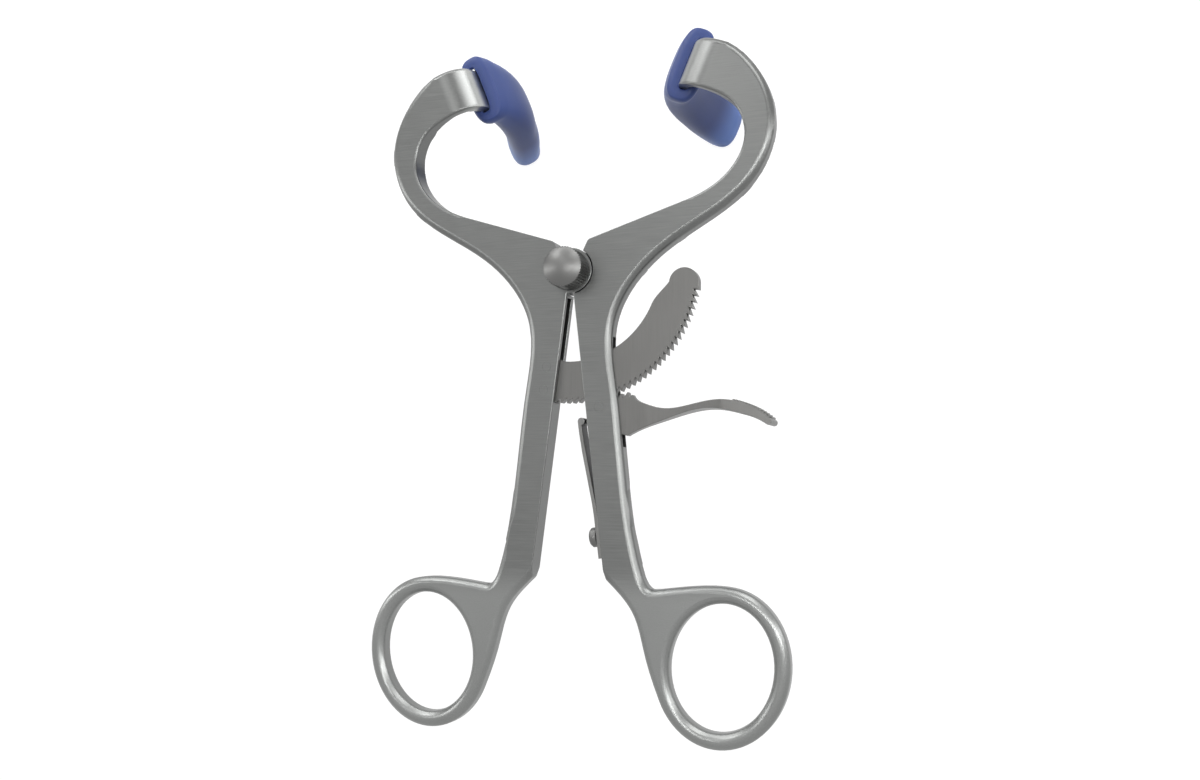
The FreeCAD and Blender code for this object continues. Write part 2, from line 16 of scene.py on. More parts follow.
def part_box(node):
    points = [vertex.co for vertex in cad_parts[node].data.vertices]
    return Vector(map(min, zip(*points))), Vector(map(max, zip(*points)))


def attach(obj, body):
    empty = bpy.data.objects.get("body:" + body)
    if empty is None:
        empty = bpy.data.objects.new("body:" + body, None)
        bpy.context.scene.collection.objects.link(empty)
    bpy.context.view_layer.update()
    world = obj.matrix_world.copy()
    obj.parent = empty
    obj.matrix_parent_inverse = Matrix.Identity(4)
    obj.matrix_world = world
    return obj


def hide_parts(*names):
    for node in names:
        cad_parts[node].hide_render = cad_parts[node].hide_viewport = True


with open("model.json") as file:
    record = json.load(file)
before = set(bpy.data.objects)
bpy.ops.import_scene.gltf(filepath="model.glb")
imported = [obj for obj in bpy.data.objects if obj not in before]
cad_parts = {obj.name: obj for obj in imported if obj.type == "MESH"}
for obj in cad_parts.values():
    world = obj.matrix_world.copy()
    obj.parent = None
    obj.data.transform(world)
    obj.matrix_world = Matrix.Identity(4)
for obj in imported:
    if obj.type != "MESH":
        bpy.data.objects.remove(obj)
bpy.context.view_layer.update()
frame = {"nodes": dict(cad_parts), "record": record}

log = logging.getLogger("mouth_gag")

MM = 0.001
PIVOT = Vector(next(joint["pos_m"] for joint in frame["record"]["behaviour"]["joints"]
                    if joint["name"] == "jaw_hinge"))

Colour = tuple[float, float, float]
Plan = tuple[float, float]
Span = tuple[float, float]
Shaded = bpy.types.Material | bpy.types.World


def place(x: float, y: float, z: float = 0.0) -> Vector:
    """A point given in mm from the pivot axis and the arms' mid-plane, in metres of the frame."""
    return PIVOT + Vector((x, y, z)) * MM


class Side(Enum):
    """Which arm a piece belongs to. The value is the sign of X."""

    LEFT = -1
    RIGHT = 1

    @property
    def word(self) -> str:
        """The word used in node and body names."""
        return self.name.lower()


class Grain(Enum):
    """How the fine lines of a brushed surface run."""

    ARM = "across the arms, satin on the rings"
    UPRIGHT = "along Y"
    TURNED = "round the pivot axis"


class Socket:
    """One output of a node, with arithmetic written as Python expressions."""

    def __init__(self, nodes: "Nodes", out: bpy.types.NodeSocket) -> None:
        """Wraps an output.

        Args:
            nodes: the maker of the tree that the output belongs to.
            out: the output itself.
        """
        self.nodes = nodes
        self.out = out

    def _math(self, operation: str, other: "Socket | float", swapped: bool = False) -> "Socket":
        """Adds a Math node of this socket and another value.

        Args:
            operation: the Math node's operation.
            other: the second value, a socket or a number.
            swapped: whether the other value comes first.

        Returns:
            The result's socket.
        """
        pair = [other, self] if swapped else [self, other]
        return self.nodes.node("ShaderNodeMath", {"operation": operation}, {0: pair[0], 1: pair[1]})

    def __add__(self, other: "Socket | float") -> "Socket":
        """Sum."""
        return self._math("ADD", other)

    def __radd__(self, other: float) -> "Socket":
        """Sum with a number on the left."""
        return self._math("ADD", other, swapped=True)

    def __sub__(self, other: "Socket | float") -> "Socket":
        """Difference."""
        return self._math("SUBTRACT", other)

    def __rsub__(self, other: float) -> "Socket":
        """Difference with a number on the left."""
        return self._math("SUBTRACT", other, swapped=True)

    def __mul__(self, other: "Socket | float") -> "Socket":
        """Product."""
        return self._math("MULTIPLY", other)

    def __rmul__(self, other: float) -> "Socket":
        """Product with a number on the left."""
        return self._math("MULTIPLY", other, swapped=True)

    def over(self, low: float, high: float) -> "Socket":
        """The value mapped smoothly from a range to 0 to 1 and held at the ends.

        Args:
            low: the value that gives 0.
            high: the value that gives 1, which may be the smaller one.

        Returns:
            The mapped value's socket.
        """
        return self.nodes.node("ShaderNodeMapRange", {"interpolation_type": "SMOOTHSTEP"},
                               {"Value": self, "From Min": low, "From Max": high})

    def blend(self, first: "Socket | Colour", second: "Socket | Colour") -> "Socket":
        """A colour between two others, with this socket as the factor.

        Args:
            first: the colour at 0.
            second: the colour at 1.

        Returns:
            The mixed colour's socket.
        """
        return self.nodes.node("ShaderNodeMix", {"data_type": "RGBA"},
                               {0: self, 6: first, 7: second}, 2)


class Nodes:
    """The node tree of a new material or world, its own shader and the maker of its other nodes."""

    def __init__(self, owner: Shaded, shader: str = "Principled BSDF") -> None:
        """Opens the tree.

        Args:
            owner: the new material or world.
            shader: the name of the shader that the tree starts with.
        """
        owner.use_nodes = True
        self.owner = owner
        self.tree = owner.node_tree
        self.shader = self.tree.nodes[shader]

    def node(self, kind: str, settings: dict | None = None, inputs: dict | None = None,
             output: int | str = 0) -> Socket:
        """Adds a node.

        Args:
            kind: the node's type.
            settings: attributes set before the sockets, such as an operation.
            inputs: values or sockets by input name or number.
            output: the output to return, by name or number.

        Returns:
            The wanted output's socket.
        """
        made = self.tree.nodes.new(kind)
        for key, value in (settings or {}).items():
            setattr(made, key, value)
        for key, value in (inputs or {}).items():
            self.feed(made.inputs[key], value)
        return Socket(self, made.outputs[output])

    def feed(self, socket: bpy.types.NodeSocket,
             value: "Socket | float | Sequence[float]") -> None:
        """Gives an input its value or its link.

        Args:
            socket: the input.
            value: a socket to link, a number, or a colour or vector.
        """
        if isinstance(value, Socket):
            self.tree.links.new(value.out, socket)
        elif isinstance(value, (int, float)):
            socket.default_value = value
        elif socket.type == "RGBA":
            socket.default_value = (*value[:3], 1.0)
        else:
            socket.default_value = value

    def dress(self, **inputs: "Socket | float | Sequence[float]") -> Shaded:
        """Sets the inputs of the tree's own shader.

        Args:
            **inputs: values by input name, with underscores for spaces.

        Returns:
            The finished material or world.
        """
        for key, value in inputs.items():
            self.feed(self.shader.inputs[key.replace("_", " ")], value)
        return self.owner

    def spot(self, scale: Sequence[float]) -> Socket:
        """Object coordinates about the pivot, stretched by a scale per axis.

        Args:
            scale: the number of pattern units per metre along each axis.

        Returns:
            The vector's socket.
        """
        from_object = self.node("ShaderNodeTexCoord", output="Object")
        moved = self.node("ShaderNodeVectorMath", {"operation": "SUBTRACT"},
                          {0: from_object, 1: tuple(PIVOT)})
        return self.node("ShaderNodeVectorMath", {"operation": "MULTIPLY"},
                         {0: moved, 1: tuple(scale)})

    def noise(self, vector: Socket, detail: float = 3.0, roughness: float = 0.55) -> Socket:
        """Noise read at a vector.

        Args:
            vector: where the noise is read.
            detail: the number of finer layers.
            roughness: how strong the finer layers are.

        Returns:
            The noise value's socket, about 0.5 on average.
        """
        return self.node("ShaderNodeTexNoise", None,
                         {"Vector": vector, "Scale": 1.0, "Detail": detail, "Roughness": roughness})

    def axis(self, name: str) -> Socket:
        """The distance from the pivot along one axis.

        Args:
            name: X, Y or Z.

        Returns:
            The distance's socket, in mm.
        """
        in_mm = self.spot((1 / MM, 1 / MM, 1 / MM))
        return self.node("ShaderNodeSeparateXYZ", None, {0: in_mm}, name)

    def even_noise(self, scale: float, detail: float = 2.0) -> Socket:
        """Noise of the same scale along every axis.

        Args:
            scale: the number of pattern units per metre.
            detail: the number of finer layers.

        Returns:
            The noise value's socket, about 0.5 on average.
        """
        return self.noise(self.spot((scale, scale, scale)), detail)

    def bump(self, height: Socket, strength: float, depth: float) -> Socket:
        """A normal tilted by a relief.

        Args:
            height: the relief.
            strength: how much of the tilt is used.
            depth: the relief's depth in mm.

        Returns:
            The normal's socket.
        """
        return self.node("ShaderNodeBump", None,
                         {"Strength": strength, "Distance": depth * MM, "Height": height})

    def seen(self) -> Socket:
        """1 on the rays that the picture shows directly, in a mirror or through glass, else 0.

        Returns:
            The factor's socket.
        """
        camera, glossy, through = (self.node("ShaderNodeLightPath", output=f"Is {kind} Ray")
                                   for kind in ("Camera", "Glossy", "Transmission"))
        return (camera + glossy + through).over(0.0, 1.0)


@dataclass(frozen=True)
class SteelFinish:
    """A satin or brushed stainless steel. Heights and lengths are in mm from the pivot."""

    name: str
    slot: str
    colour: Colour
    roughness: float
    grain: Grain
    line_width: float = 0.20
    line_length: float = 7.0
    line_depth: float = 0.010
    line_contrast: float = 0.40
    line_roughness: float = 0.16
    cloud_scale: float = 90.0
    cloud_contrast: float = 0.10
    scratch_scale: tuple[float, float, float] = (700.0, 2600.0, 700.0)
    scratch_detail: float = 6.0
    scratch_layers: float = 0.7
    scratch_roughness: float = 0.10
    scratch_depth: float = 0.4
    bump_strength: float = 0.35
    ring_light: float = 0.0
    ring_start: Span = (-58.0, -66.0)
    # painted highlight: brightens the colour over the blade bends, standing for the lamps' bright
    # highlight there
    painted_bend_highlight: float = 0.0
    bend_highlight_start: Span = (33.0, 38.0)
    bend_highlight_heights: Span = (1.9, -2.0)
    # painted shade: below this height in mm the colour fades to near black, standing for shade in a
    # narrow gap
    painted_shade_below: float | None = None
    painted_shade_fade: float = 0.12
    painted_shade_colour: Colour = (0.006, 0.006, 0.007)

    def lines(self, nodes: Nodes) -> Socket:
        """The value of the brush lines over the surface.

        Args:
            nodes: the material's nodes.

        Returns:
            The lines' socket, about 0.5 on average.
        """
        fine = 1 / (self.line_width * MM)
        long = 1 / (self.line_length * MM)
        if self.grain is Grain.UPRIGHT:
            return nodes.noise(nodes.spot((fine, long, fine)))
        if self.grain is Grain.TURNED:
            point = nodes.spot((1.0, 1.0, 0.0))
            radius = nodes.node("ShaderNodeVectorMath", {"operation": "LENGTH"}, {0: point},
                                "Value")
            return nodes.noise(nodes.node("ShaderNodeCombineXYZ", None, {0: radius * fine}))
        satin = nodes.noise(nodes.spot((fine, fine, fine)))
        level = nodes.noise(nodes.spot((long, fine, fine)))
        return level + (satin - level) * nodes.axis("Y").over(*self.ring_start)

    def base(self, nodes: Nodes, lines: Socket) -> Socket:
        """The steel's colour over the surface, with a painted highlight over the blade bends and
        painted shade below a set height.

        Args:
            nodes: the material's nodes.
            lines: the brush lines.

        Returns:
            The colour's socket.
        """
        along, height = nodes.axis("Y"), nodes.axis("Z")
        cloud = nodes.even_noise(self.cloud_scale)
        # painted highlight mask: the blade bends, from the hooks' upper end down through the bends
        blade = along.over(*self.bend_highlight_start) * height.over(*self.bend_highlight_heights)
        ring = along.over(*self.ring_start)
        shade = 1.0 + (lines - 0.5) * self.line_contrast + (cloud - 0.5) * self.cloud_contrast
        # the painted highlight over the bends and the brighter tone over the rings scale the
        # steel's tone
        shade = shade * (1.0 + blade * self.painted_bend_highlight + ring * self.ring_light)
        grey = nodes.node("ShaderNodeCombineColor", None, {0: shade, 1: shade, 2: shade})
        base = nodes.node("ShaderNodeMix", {"data_type": "RGBA", "blend_type": "MULTIPLY"},
                          {0: 1.0, 6: self.colour, 7: grey}, 2)
        if self.painted_shade_below is None:
            return base
        # painted shade below the set height
        painted_shade = height.over(self.painted_shade_below, self.painted_shade_below - self.painted_shade_fade)
        return painted_shade.blend(base, self.painted_shade_colour)

    def material(self) -> bpy.types.Material:
        """Makes the material.

        Returns:
            The steel with its lines, scratches and clouds, a painted highlight over the blade
            bends, a brighter tone over the rings and painted shade below a set height.
        """
        nodes = Nodes(bpy.data.materials.new(self.name))
        lines = self.lines(nodes)
        scratch = nodes.noise(nodes.spot(self.scratch_scale), self.scratch_detail,
                              self.scratch_layers)
        rough = (self.roughness + (lines - 0.5) * self.line_roughness
                 + (scratch - 0.5) * self.scratch_roughness)
        bump = nodes.bump(lines + scratch * self.scratch_depth, self.bump_strength, self.line_depth)
        return nodes.dress(Base_Color=self.base(nodes, lines), Roughness=rough, Metallic=1.0,
                           Normal=bump)


@dataclass(frozen=True)
class SiliconeFinish:
    """Smooth satin silicone, a little translucent where it is thin."""

    name: str = "blue_silicone"
    slot: str = "pad_silicone"
    body_colour: Colour = (0.034, 0.058, 0.190)
    # painted shade: the darker blue from the middle of the sleeve down
    painted_middle_shade_colour: Colour = (0.013, 0.024, 0.095)
    # painted light: the paler blue at the tip, standing for light glowing through the silicone
    # there
    painted_tip_light_colour: Colour = (0.105, 0.185, 0.450)
    roughness: float = 0.46
    middle_shade_heights: Span = (-5.0, -14.0)
    middle_shade_share: float = 0.55
    tip_light_heights: Span = (-20.0, -29.0)
    tip_light_share: float = 0.75
    tip_light_clouding: float = 0.4
    cloud_scale: float = 160.0
    cloud_roughness: float = 0.08
    grain_scale: float = 4200.0
    grain_roughness: float = 0.12
    grain_depth: float = 0.015
    grain_strength: float = 0.2
    gloss: float = 0.34
    scatter: float = 0.25
    scatter_radius: Colour = (0.6, 0.8, 1.6)
    scatter_scale: float = 0.9
    bloom: float = 0.14
    bloom_roughness: float = 0.35
    bloom_tint: Colour = (0.62, 0.72, 0.90)

    def material(self) -> bpy.types.Material:
        """Makes the material.

        Returns:
            The silicone with painted shade darkening it from the middle down, painted light paling
            its tip, faint mould grain and clouding.
        """
        nodes = Nodes(bpy.data.materials.new(self.name))
        height = nodes.axis("Z")
        cloud = nodes.even_noise(self.cloud_scale)
        grain = nodes.even_noise(self.grain_scale)
        # painted shade from the middle down
        middle = height.over(*self.middle_shade_heights) * self.middle_shade_share
        # painted light at the tip, its strength varied by the clouding
        tip = height.over(*self.tip_light_heights) * (self.tip_light_share + (cloud - 0.5) * self.tip_light_clouding)
        base = tip.blend(middle.blend(self.body_colour, self.painted_middle_shade_colour), self.painted_tip_light_colour)
        rough = (self.roughness + (grain - 0.5) * self.grain_roughness
                 + (cloud - 0.5) * self.cloud_roughness)
        return nodes.dress(Base_Color=base, Roughness=rough,
                           Normal=nodes.bump(grain, self.grain_strength, self.grain_depth),
                           Subsurface_Weight=self.scatter, Subsurface_Radius=self.scatter_radius,
                           Subsurface_Scale=self.scatter_scale * MM, Specular_IOR_Level=self.gloss,
                           Sheen_Weight=self.bloom, Sheen_Roughness=self.bloom_roughness,
                           Sheen_Tint=self.bloom_tint)


# The arms' steel has a painted highlight over the blade bends and a brighter tone over the rings.
ARM_STEEL = SteelFinish("brushed_arm_steel", "arm_steel", (0.146, 0.149, 0.146), 0.34,
                        Grain.ARM, painted_bend_highlight=1.9, ring_light=0.52)
RATCHET_STEEL = SteelFinish("satin_ratchet_steel", "ratchet_steel", (0.134, 0.133, 0.129), 0.38,
                            Grain.UPRIGHT, line_length=9.0, line_contrast=0.20)
SCREW_STEEL = SteelFinish("turned_screw_steel", "screw_steel", (0.140, 0.140, 0.137), 0.42,
                          Grain.TURNED, line_width=0.12, line_contrast=0.16)
# The spring is painted near black below 1.62 mm, standing for the shade in its narrow gap beside
# the right shank.
SPRING_STEEL = SteelFinish("rolled_spring_steel", "spring_steel", (0.170, 0.170, 0.166), 0.36,
                           Grain.UPRIGHT, painted_shade_below=1.62)
SILICONE = SiliconeFinish()


def shown(name: str, bm: bmesh.types.BMesh, material: bpy.types.Material, slot: str,
          body: str) -> bpy.types.Object:
    """Makes an object of a finished bmesh and lets it ride on its body.

    Args:
        name: the piece's name.
        bm: its shape, in metres of the frame. It is freed.
        material: its material.
        slot: the record's material slot; not used.
        body: the CAD body that carries it.

    Returns:
        The new object.
    """
    mesh = bpy.data.meshes.new(name)
    bm.to_mesh(mesh)
    bm.free()
    mesh.materials.append(material)
    piece = bpy.data.objects.new(name, mesh)
    bpy.context.scene.collection.objects.link(piece)
    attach(piece, body)
    log.info("%s: %d faces on %s", name, len(mesh.polygons), body)
    return piece


def face_angle(edge: bmesh.types.BMEdge) -> float:
    """The angle in degrees between the two faces of an edge, or 0 at a border."""
    return math.degrees(edge.calc_face_angle()) if len(edge.link_faces) == 2 else 0.0


@dataclass
class SteelPiece:
    """A CAD node with its facets merged and its corners broken, as a polished part has them."""

    node: str
    body: str
    finish: SteelFinish
    corner: float = 0.10
    corner_facets: int = 2
    soft_corner: float = 0.0
    hook_corner: float = 0.0
    soft_facets: int = 4
    hook_start: float = 7.0
    hook_floor: float = -1.0
    hook_centre: Plan = (27.0, 31.0)
    hook_reach: float = 12.0
    hard_angle: float = 60.0
    soft_angle: float = 25.0
    shading_angle: float = 32.0
    flush: tuple[str, ...] = ()
    flush_spare: float = 0.15
    same_point: float = 0.0005
    flat_angle: float = 0.8
    smallest_edge: float = 0.03
    tries: int = 6
    stray_reach: float = 0.8
    stray_area: float = 0.02
    stray_factor: float = 2.5
    fold_limit: float = 0.3
    flat_area: float = 20.0
    strip_width: float = 0.3
    sliver: float = 0.002
    flat_weight: int = 80

    def build(self, material: bpy.types.Material) -> bpy.types.Object:
        """Makes the piece from the node's own mesh.

        Args:
            material: the finish's material.

        Returns:
            The piece that stands for the node.
        """
        bm = bmesh.new()
        bm.from_mesh(frame["nodes"][self.node].data)
        bmesh.ops.remove_doubles(bm, verts=bm.verts, dist=self.same_point * MM)
        bmesh.ops.dissolve_limit(bm, angle_limit=math.radians(self.flat_angle), verts=bm.verts,
                                 edges=bm.edges)
        bmesh.ops.dissolve_degenerate(bm, dist=self.smallest_edge * MM, edges=bm.edges)
        if self.soft_corner:
            soft = [e for e in bm.edges if self.soft_angle < face_angle(e) <= self.hard_angle]
            self.break_edges(bm, soft, self.soft_corner, self.soft_facets)
        if self.hook_corner:
            hook = [e for e in bm.edges if face_angle(e) > self.hard_angle and self.on_hook(e)]
            self.break_edges(bm, hook, self.hook_corner, self.soft_facets)
        hard = [e for e in bm.edges if face_angle(e) > self.hard_angle and not self.by_flush_pin(e)]
        self.break_edges(bm, hard, self.corner, self.corner_facets)
        bmesh.ops.dissolve_degenerate(bm, dist=self.sliver * MM, edges=bm.edges)
        for face in bm.faces:
            face.smooth = True
        for edge in bm.edges:
            edge.smooth = face_angle(edge) < self.shading_angle and not self.ends_a_flat(edge)
        piece = shown(self.node + "_steel", bm, material, self.finish.slot, self.body)
        weighted = piece.modifiers.new("even_faces", "WEIGHTED_NORMAL")
        weighted.keep_sharp = True
        weighted.weight = self.flat_weight
        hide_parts(self.node)
        return piece

    def ends_a_flat(self, edge: bmesh.types.BMEdge) -> bool:
        """Whether an edge parts a large flat from the first narrow strip of a round."""
        areas = [face.calc_area() / MM ** 2 for face in edge.link_faces]
        reaches = [max(side.calc_length() for side in face.edges) / MM
                   for face in edge.link_faces]
        return (any(area > self.flat_area for area in areas)
                and any(area < self.strip_width * reach for area, reach in zip(areas, reaches)))

    def by_flush_pin(self, edge: bmesh.types.BMEdge) -> bool:
        """Whether an edge lies on the mouth of a hole that a flush pin fills."""
        for name in self.flush:
            low, high = (Vector(corner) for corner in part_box(name))
            centre = (low + high) / 2
            reach = (high.x - low.x) / 2 + self.flush_spare * MM
            if all((vert.co - centre).xy.length < reach for vert in edge.verts):
                return True
        return False

    def on_hook(self, edge: bmesh.types.BMEdge) -> bool:
        """Whether an edge runs along the hook's hollow or neck, above the lap joint."""
        for vert in edge.verts:
            x, y, z = (vert.co - PIVOT) / MM
            away = math.dist((abs(x), y), self.hook_centre)
            outer = y > self.hook_centre[1] and away > self.hook_reach
            if y < self.hook_start or z < self.hook_floor or outer:
                return False
        return True

    def break_edges(self, bm: bmesh.types.BMesh, edges: Sequence[bmesh.types.BMEdge], size: float,
                    facets: int) -> None:
        """Rounds edges, apart from those by which a trial of the same round flies off or folds.

        Args:
            bm: the shape.
            edges: the edges to round.
            size: how far each face is cut back, in mm.
            facets: the number of facets across the round.
        """
        if not (edges and size):
            return
        bm.edges.index_update()
        bm.edges.ensure_lookup_table()
        surface = BVHTree.FromBMesh(bm)
        wanted = [edge.index for edge in edges]
        for attempt in range(1, self.tries + 1):
            trial = bm.copy()
            trial.edges.ensure_lookup_table()
            self.bevel(trial, wanted, size, facets)
            strays = self.strays(trial, surface, size)
            trial.free()
            if not strays:
                break
            reach = attempt * self.stray_reach * MM
            wanted = [index for index in wanted
                      if not self.close_to(bm.edges[index], strays, reach)]
        log.info("%s: %d of %d edges rounded by %.2f mm", self.node, len(wanted), len(edges),
                 size)
        self.bevel(bm, wanted, size, facets)

    @staticmethod
    def bevel(bm: bmesh.types.BMesh, wanted: Sequence[int], size: float, facets: int) -> None:
        """Rounds the edges that have the wanted numbers."""
        bmesh.ops.bevel(bm, geom=[bm.edges[index] for index in wanted], offset=size * MM,
                        offset_type="OFFSET", segments=facets, profile=0.5, affect="EDGES",
                        clamp_overlap=False, material=-1)

    @staticmethod
    def close_to(edge: bmesh.types.BMEdge, spots: Sequence[Vector], reach: float) -> bool:
        """Whether an edge's middle or either end lies within a reach of any of the spots."""
        first, last = (vert.co for vert in edge.verts)
        return any((point - spot).length < reach
                   for point in (first, last, (first + last) / 2) for spot in spots)

    def strays(self, bm: bmesh.types.BMesh, surface: BVHTree, size: float) -> list[Vector]:
        """The places where a rounded shape has left its old surface or has folded over.

        Args:
            bm: the rounded shape.
            surface: the shape before.
            size: the size of the round, in mm.

        Returns:
            A point of each such place.
        """
        limit = self.stray_factor * size * MM
        away = [vert.co.copy() for vert in bm.verts if surface.find_nearest(vert.co)[3] > limit]
        smallest = self.stray_area * MM ** 2
        for loops in bm.calc_loop_triangles():
            first, second, third = (loop.vert.co for loop in loops)
            turned = (second - first).cross(third - first) / 2
            upright = turned.normalized().dot(loops[0].face.normal)
            if turned.length > smallest and upright < self.fold_limit:
                away.append((first + second + third) / 3)
        return away


@dataclass
class Sleeve:
    """A soft sleeve on one jaw blade: belly, round end, rolled lip and the pocket for the blade."""

    side: Side
    face: Plan = (22.95, 42.15)
    tilt: float = 22.7
    blade_thickness: float = 2.0
    mouth_z: float = -3.3
    round_start_z: float = -29.2
    round_end_drop: float = 3.0
    drift: float = 3.9
    drift_power: float = 1.4
    mouth_width: float = 14.7
    mouth_thickness: float = 5.7
    mouth_offset: float = 1.1
    tip_width: float = 10.1
    tip_thickness: float = 7.1
    tip_offset: float = -2.0
    belly_thickness: float = 1.3
    belly_offset: float = 2.35
    shoulder_bulge: float = 1.1
    shoulder_end: float = 0.62
    edge_bulge: float = 1.1
    lip_bulge: float = 1.3
    lip_height: float = 2.2
    lip_turns: tuple[int, ...] = (-70, -40, -10, 20, 50, 75, 90)
    lip_squareness: float = 3.0
    rim: tuple[Plan, ...] = ((0.5, -0.05), (0.92, 0.0), (0.98, 0.1), (1.0, 0.3))
    pocket_width: float = 10.8
    pocket_thickness: float = 2.4
    pocket_shift: float = -1.05
    pocket_depth: float = 1.0
    squareness: float = 2.7
    segments: int = 56
    levels: int = 16
    tip_turns: tuple[int, ...] = (88, 70, 52, 35, 18)

    def bowed(self, first: float, last: float, bow: float, share: float) -> float:
        """A value from first to last that bulges by bow half-way."""
        return first + (last - first) * share + 4 * bow * share * (1 - share)

    def ring(self, bm: bmesh.types.BMesh, share: float, z: float, width: float, thickness: float,
             shift: float = 0.0, squareness: float | None = None) -> list[bmesh.types.BMEdge]:
        """Adds one level ring of the sleeve.

        Args:
            bm: the shape.
            share: how far down the sleeve the ring's centre is taken, from 0 to 1.
            z: the ring's height in mm.
            width: its size across the blade.
            thickness: its size through the blade.
            shift: a move of the centre out of the convex face, in mm.
            squareness: the fullness of the ring's corners.

        Returns:
            The ring's edges.
        """
        power = 2 / (squareness or self.squareness)
        turn = math.radians(self.tilt)
        across = Vector((math.sin(turn), math.cos(turn), 0.0))
        out = Vector((-math.cos(turn), math.sin(turn), 0.0))
        offset = (self.bowed(self.mouth_offset, self.tip_offset, self.belly_offset, share)
                  + self.shoulder(share) / 2)
        centre = (Vector((*self.face, z)) + out * (offset - self.blade_thickness / 2 + shift)
                  - across * (self.drift * share ** self.drift_power + self.edge(share) / 2))
        made = bmesh.ops.create_circle(bm, segments=self.segments, radius=1.0)["verts"]
        for vert in made:
            u = math.copysign(abs(vert.co.x) ** power, vert.co.x) * width / 2
            v = math.copysign(abs(vert.co.y) ** power, vert.co.y) * thickness / 2
            point = centre + across * u + out * v
            vert.co = place(point.x * self.side.value, point.y, point.z)
        return list({edge for vert in made for edge in vert.link_edges})

    def shoulder(self, share: float) -> float:
        """How much fuller the convex side is at a share of the sleeve's length, in mm."""
        return self.bowed(0.0, 0.0, self.shoulder_bulge, min(1.0, share / self.shoulder_end))

    def edge(self, share: float) -> float:
        """How much wider the lower edge is at a share of the sleeve's length, in mm."""
        return self.bowed(0.0, 0.0, self.edge_bulge, share)

    def sizes(self, share: float) -> tuple[float, float]:
        """The sleeve's width and thickness at a share of its length."""
        thickness = self.bowed(self.mouth_thickness, self.tip_thickness, self.belly_thickness,
                               share)
        width = self.bowed(self.mouth_width, self.tip_width, 0.0, share)
        return width + self.edge(share), thickness + self.shoulder(share)

    def build(self, finish: SiliconeFinish, material: bpy.types.Material) -> bpy.types.Object:
        """Makes the sleeve.

        Args:
            finish: its finish.
            material: the finish's material.

        Returns:
            The piece that stands for the pad's node.
        """
        bm = bmesh.new()
        rings = []
        end_width, end_thickness = self.sizes(1.0)
        for turn in self.tip_turns:
            loss = end_thickness * (1 - math.cos(math.radians(turn)))
            drop = self.round_end_drop * math.sin(math.radians(turn))
            rings.append(self.ring(bm, 1.0, self.round_start_z - drop, end_width - loss,
                                   end_thickness - loss))
        length = self.mouth_z - self.round_start_z
        for step in range(self.levels):
            share = 1 - step / self.levels
            z = self.mouth_z - length * share
            width, thickness = self.sizes(share)
            if z < self.mouth_z - self.lip_height:
                rings.append(self.ring(bm, share, z, width, thickness))
        self.add_lip(bm, rings)
        for low, high in zip(rings, rings[1:]):
            bmesh.ops.bridge_loops(bm, edges=low + high)
        bmesh.ops.holes_fill(bm, edges=[e for e in bm.edges if len(e.link_faces) == 1], sides=0)
        bmesh.ops.recalc_face_normals(bm, faces=bm.faces)
        for face in bm.faces:
            face.smooth = True
        piece = shown(self.side.word + "_sleeve", bm, material, finish.slot,
                      self.side.word + "_arm")
        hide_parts(self.side.word + "_pad")
        return piece

    def add_lip(self, bm: bmesh.types.BMesh, rings: list[list[bmesh.types.BMEdge]]) -> None:
        """Adds the rolled lip, the mouth's rim and the pocket.

        Args:
            bm: the shape.
            rings: the rings so far, from the tip upwards. The new ones are added to it.
        """
        length = self.mouth_z - self.round_start_z
        width, thickness = self.sizes(0.0)
        for turn in self.lip_turns:
            angle = math.radians(turn)
            z = self.mouth_z - self.lip_height / 2 * (1 - math.sin(angle))
            share = (self.mouth_z - z) / length
            bulge = self.lip_bulge * math.cos(angle)
            w, t = self.sizes(share)
            rings.append(self.ring(bm, share, z, w + bulge / 2, t + bulge, -bulge / 2,
                                   self.lip_squareness))
        for inset, drop in (*self.rim, (1.0, self.pocket_depth)):
            w = self.bowed(width, self.pocket_width, 0.0, inset)
            t = self.bowed(thickness, self.pocket_thickness, 0.0, inset)
            rings.append(self.ring(bm, 0.0, self.mouth_z - drop, w, t, self.pocket_shift * inset,
                                   self.lip_squareness + inset))


@dataclass
class ThumbRidges:
    """Fine cross ridges on top of the release lever's tail, near its tip."""

    first_x: float = 33.6
    last_x: float = 40.2
    count: int = 13
    radius: float = 0.24
    width: float = 6.3
    lift: float = 0.02
    sides: int = 10

    def build(self, material: bpy.types.Material) -> bpy.types.Object:
        """Makes the ridges, each seated on the lever's own surface.

        Args:
            material: the lever's material.

        Returns:
            The ridges as one piece.
        """
        lever = bmesh.new()
        lever.from_mesh(frame["nodes"]["release_lever"].data)
        surface = BVHTree.FromBMesh(lever)
        lever.free()
        bm = bmesh.new()
        for index in range(self.count):
            x = self.first_x + (self.last_x - self.first_x) * index / (self.count - 1)
            hit = surface.ray_cast(place(x, 0.0), Vector((0, -1, 0)))[0]
            seat = hit + Vector((0, self.lift, 0)) * MM
            bmesh.ops.create_cone(bm, cap_ends=True, segments=self.sides, radius1=self.radius * MM,
                                  radius2=self.radius * MM, depth=self.width * MM,
                                  matrix=Matrix.Translation(seat))
        for face in bm.faces:
            face.smooth = len(face.verts) == 4
        return shown("thumb_ridges", bm, material, RATCHET_STEEL.slot, "release_lever")


@dataclass(frozen=True)
class Lamp:
    """A rectangular area lamp that faces the pivot. Its place and sides are in mm."""

    name: str
    spot: tuple[float, float, float]
    size: Plan
    radiance: float

    def build(self) -> None:
        """Makes the lamp, whose face looks white where the radiance is 1."""
        data = bpy.data.lights.new(self.name, "AREA")
        data.shape = "RECTANGLE"
        data.size = self.size[0] * MM
        data.size_y = self.size[1] * MM
        data.energy = self.radiance * math.pi * data.size * data.size_y
        lamp = bpy.data.objects.new(self.name, data)
        lamp.location = place(*self.spot)
        lamp.rotation_euler = (PIVOT - lamp.location).to_track_quat("-Z", "Y").to_euler()
        bpy.context.scene.collection.objects.link(lamp)


